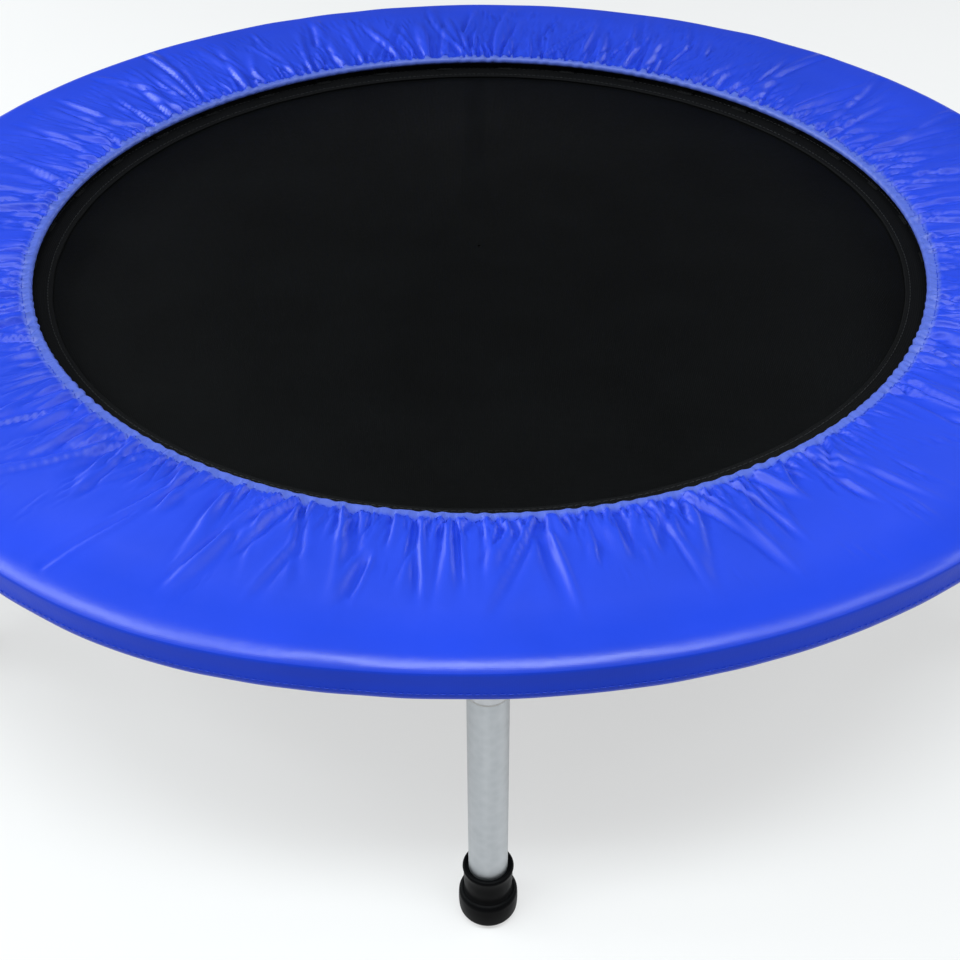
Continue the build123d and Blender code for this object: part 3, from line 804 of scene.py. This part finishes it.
def make_mat_hem():
    """Webbing folded round the mat's edge, with two rows of stitches."""
    outside, inside = hem_half + 0.3 * MM, hem_half - 1.4 * MM
    turn_in = 1.2 * MM
    bend = hem_outer + 0.4 * MM - turn_in
    section = [(hem_inner, inside), (hem_inner + 0.2 * MM, outside - 0.5 * MM)]
    section += [(hem_inner + 0.9 * MM, outside)]
    section += [(x, outside) for x in np.linspace(hem_inner + 4 * MM, bend, 7)]
    for side, corner in ((1, (75, 50, 25, 0)), (-1, (0, -25, -50, -75))):
        for a in np.radians(corner):
            level = side * (outside - turn_in) + turn_in * math.sin(a)
            section.append((bend + turn_in * math.cos(a), level))
    section += [(x, -outside) for x in np.linspace(bend, hem_inner + 4 * MM, 7)]
    section += [(hem_inner + 0.9 * MM, -outside)]
    section += [(hem_inner + 0.2 * MM, 0.5 * MM - outside), (hem_inner, -inside)]
    section += [(x, -inside) for x in np.linspace(hem_inner + 5 * MM, bend - 1 * MM, 4)]
    section += [(bend, 0.0)]
    section += [(x, inside) for x in np.linspace(bend - 1 * MM, hem_inner + 5 * MM, 4)]
    section = np.array(section)
    turn = np.linspace(0, 2 * math.pi, HEM_POINTS, endpoint=False)
    wave = 0.10 * MM * np.sin(SPRINGS * turn) + 0.08 * MM * np.sin(131 * turn + 2 * np.sin(4 * turn))
    share = np.clip((section[:, 0] - hem_inner) / (20 * MM), 0.2, 1)
    scallop = 0.12 * MM * np.cos(SPRINGS * (turn - math.radians(FIRST_SPRING)))
    radius = np.tile(section[:, 0], (HEM_POINTS, 1)) + scallop[:, None]
    height = mat_height + section[:, 1][None, :] + wave[:, None] * share[None, :]
    faces = grid_faces(HEM_POINTS, len(section), True, True)[:, ::-1]
    hem = piece("mat_hem_webbing", around(turn, radius, height), faces, webbing, "mat", "mat_webbing")
    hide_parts("mat_hem")
    rows = []
    for at, side in ((hem_inner + 3.5 * MM, 1), (hem_outer - 15.5 * MM, 1), (hem_inner + 3.5 * MM, -1)):
        level = mat_height + side * (outside + 0.05 * MM) + wave * 0.4
        line = np.stack([at * np.cos(turn), at * np.sin(turn), level], axis=-1)
        up = np.tile([0.0, 0.0, float(side)], (HEM_POINTS, 1))
        rows.append(stitch_row(line, up, 0.3 * MM))
    return rows


def spring_angle(k):
    return math.radians(FIRST_SPRING + SPRING_STEP * k)


def make_tabs():
    """A webbing loop round the bar of each wire ring, sewn to the hem above and below."""
    bar = bar_radius()
    strap = 0.6 * MM
    flat = hem_half + strap
    path = [(bar - back * MM, flat) for back in (22, 17, 12, 7)]
    path += [(bar - 3.5 * MM, flat - 0.1 * MM)]
    bend = 1.65 * MM + strap
    round_bar = np.radians([72, 45, 20, 0, -20, -45, -72])
    path += [(bar + bend * math.cos(a), bend * math.sin(a)) for a in round_bar]
    path += [(x, -z) for x, z in path[:5][::-1]]
    path = np.array(path)
    tangent = unit(np.gradient(path, axis=0))
    normal = np.stack([-tangent[:, 1], tangent[:, 0]], axis=-1)
    width = 7.5 * MM
    section = [(-1, -1), (-0.94, -1.15), (0.94, -1.15), (1, -1), (1, 1), (0.94, 1.15), (-0.94, 1.15), (-1, 1)]
    loops, rows = [], []
    dice = np.random.default_rng(11)
    for k in range(SPRINGS):
        angle = spring_angle(k) + dice.normal(0, 0.0012)
        c, s = math.cos(angle), math.sin(angle)
        points = np.zeros((len(path), len(section), 3))
        for j, (across, thick) in enumerate(section):
            r = path[:, 0] + normal[:, 0] * thick * strap * 0.87
            z = path[:, 1] + normal[:, 1] * thick * strap * 0.87
            t = across * width
            points[:, j] = np.stack([r * c - t * s, r * s + t * c, mat_height + z], axis=-1)
        count = len(section)
        last = (len(path) - 1) * count
        faces = grid_faces(len(path), count, False, True).tolist()
        faces += [list(range(count))[::-1], [last + v for v in range(count)]]
        loops.append((points, faces))
        level = mat_height + hem_half + 2.05 * strap
        near_end, far_end = bar - 20 * MM, bar - 7 * MM
        box = [(near_end, -5.5), (near_end, 5.5), (far_end, 5.5), (far_end, -5.5), (near_end, -5.5)]
        for (r0, t0), (r1, t1) in zip(box, box[1:]):  # a box of stitches
            f = np.linspace(0, 1, 8)
            r, t = r0 + (r1 - r0) * f, (t0 + (t1 - t0) * f) * MM
            line = np.stack([r * c - t * s, r * s + t * c, level + 0 * f], axis=-1)
            up = np.tile([0.0, 0, 1], (8, 1))
            rows.append(stitch_row(line, up, 0.26 * MM, length=2.4 * MM, gap=0.8 * MM, closed=False))
    tabs = piece("ring_tab_loops", *joined(loops), webbing, "mat", "mat_webbing")
    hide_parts("ring_tabs")
    return rows


def bar_radius():
    """Where the wire rings' bars run through the tabs: the tabs end one half thickness outside it."""
    half = (tab_high.z - tab_low.z) / 2
    nearest = tab_high.y / math.cos(math.radians(FIRST_SPRING))
    return math.floor((nearest - half) * 1000 + 0.5) / 1000


# ---------------------------------------------------------------- springs
def spring_path(reach):
    """One extension spring along +X: a hook round the ring, the coil, a hook into the tube."""
    coil = 5.1 * MM
    eye = 3.0 * MM
    inset = 15 * MM - SPRING_WIRE
    start, end = inset, reach - 15 * MM + SPRING_WIRE
    hook = [(eye * math.cos(a), 0.0, eye * math.sin(a)) for a in np.radians(np.linspace(-58, -262, 15))]
    hook += [(2.5 * MM, 0, 3.0 * MM), (6 * MM, 0, 3.1 * MM), (9 * MM, 0, 4.0 * MM), (11.5 * MM, 0, 5.1 * MM)]
    turns = int((end - start) / (2 * SPRING_WIRE * 1.02))
    a = np.linspace(0, 2 * math.pi * turns, turns * 14 + 1)
    body = [(start + (end - start) * t / a[-1], coil * math.sin(t), coil * math.cos(t)) for t in a]
    tail = [(end + x * MM, 0, z * MM) for x, z in ((2, 5.0), (4.2, 3.4), (6, 1.5), (8, 0.4))]
    tail += [(reach - 3 * MM, 0, 0.0), (reach - 1 * MM, 0, -0.3 * MM)]
    tail += [(reach, 0, -drop * MM) for drop in (1.4, 3.2, 5)]
    return np.array(hook + body + tail)


def make_springs():
    """36 springs that stretch from the mat's wire rings to the frame."""
    apex = wire_high.y / math.cos(math.radians(FIRST_SPRING)) - 1.6 * MM
    seat = np.array([apex, 0.0, mat_height])
    behind = math.sqrt((tube_radius - TUBE_WALL) ** 2 - (5 * MM) ** 2)
    anchor = np.array([ring_radius - behind + 1.4 * MM, 0.0, ring_height])
    reach = float(np.linalg.norm(anchor - seat))
    x_axis = (anchor - seat) / reach
    z_axis = np.cross(x_axis, (0.0, 1.0, 0.0))
    local = spring_path(reach)
    flat = seat + local[:, :1] * x_axis + local[:, 1:2] * np.array([0.0, 1.0, 0.0]) + local[:, 2:] * z_axis
    points, faces = wire(flat, SPRING_WIRE)
    for k in range(SPRINGS):
        turned = np.array(Matrix.Rotation(spring_angle(k), 3, "Z"))
        name = f"spring_{k + 1:02d}"
        spring = piece(name, points @ turned.T, faces, spring_steel, None, "spring_steel")
        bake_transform(spring)
        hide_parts("springs")


# ---------------------------------------------------------------- welds round the leg sockets
def make_welds():
    """A weld bead where each leg socket meets the tube."""
    dice = np.random.default_rng(3)
    beads = []
    boss_radius = socket_high.y - ring_radius  # one socket stands at the very back
    for k in LEGS:
        angle = FRONT + math.radians(LEG_STEP * (k - 1))
        turn = np.linspace(0, 2 * math.pi, 96, endpoint=False)
        x, y = boss_radius * np.cos(turn), boss_radius * np.sin(turn)
        z = ring_height - np.sqrt((tube_radius + 0.3 * MM) ** 2 - x**2)
        z = np.minimum(z, ring_height - tube_radius + 4.9 * MM)
        r = ring_radius + x
        c, s = math.cos(angle), math.sin(angle)
        path = np.stack([r * c - y * s, r * s + y * c, z], axis=-1)
        girth = (1.05 + 0.16 * np.sin(30 * turn) + dice.normal(0, 0.05, 96)) * MM
        beads.append(wire(path, girth, closed=True))
    piece("socket_welds", *joined(beads), weld_steel, "frame", "frame_steel")


make_foam()
make_elastics()
make_cover()
make_lining()
make_mat()
mat_threads = make_mat_hem() + make_tabs()
piece("mat_stitching", *joined(mat_threads), black_thread, "mat", "mat_webbing")
make_springs()
make_welds()

# ---------------------------------------------------------------- finishes on the CAD nodes
finishes = {"frame_arc": ring_steel, "splice_sleeves": ring_steel, "splice_rivets": bright_steel}
finishes |= {"leg_sockets": ring_steel, "v_rings": spring_steel, "leg_tube": leg_steel}
finishes |= {"leg_plug": bright_steel, "leg_bolt": bright_steel, "leg_washer": nylon, "foot": rubber}
for name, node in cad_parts.items():
    for start, finish in finishes.items():
        if name.startswith(start):
            node.data.materials.clear()
            node.data.materials.append(finish)
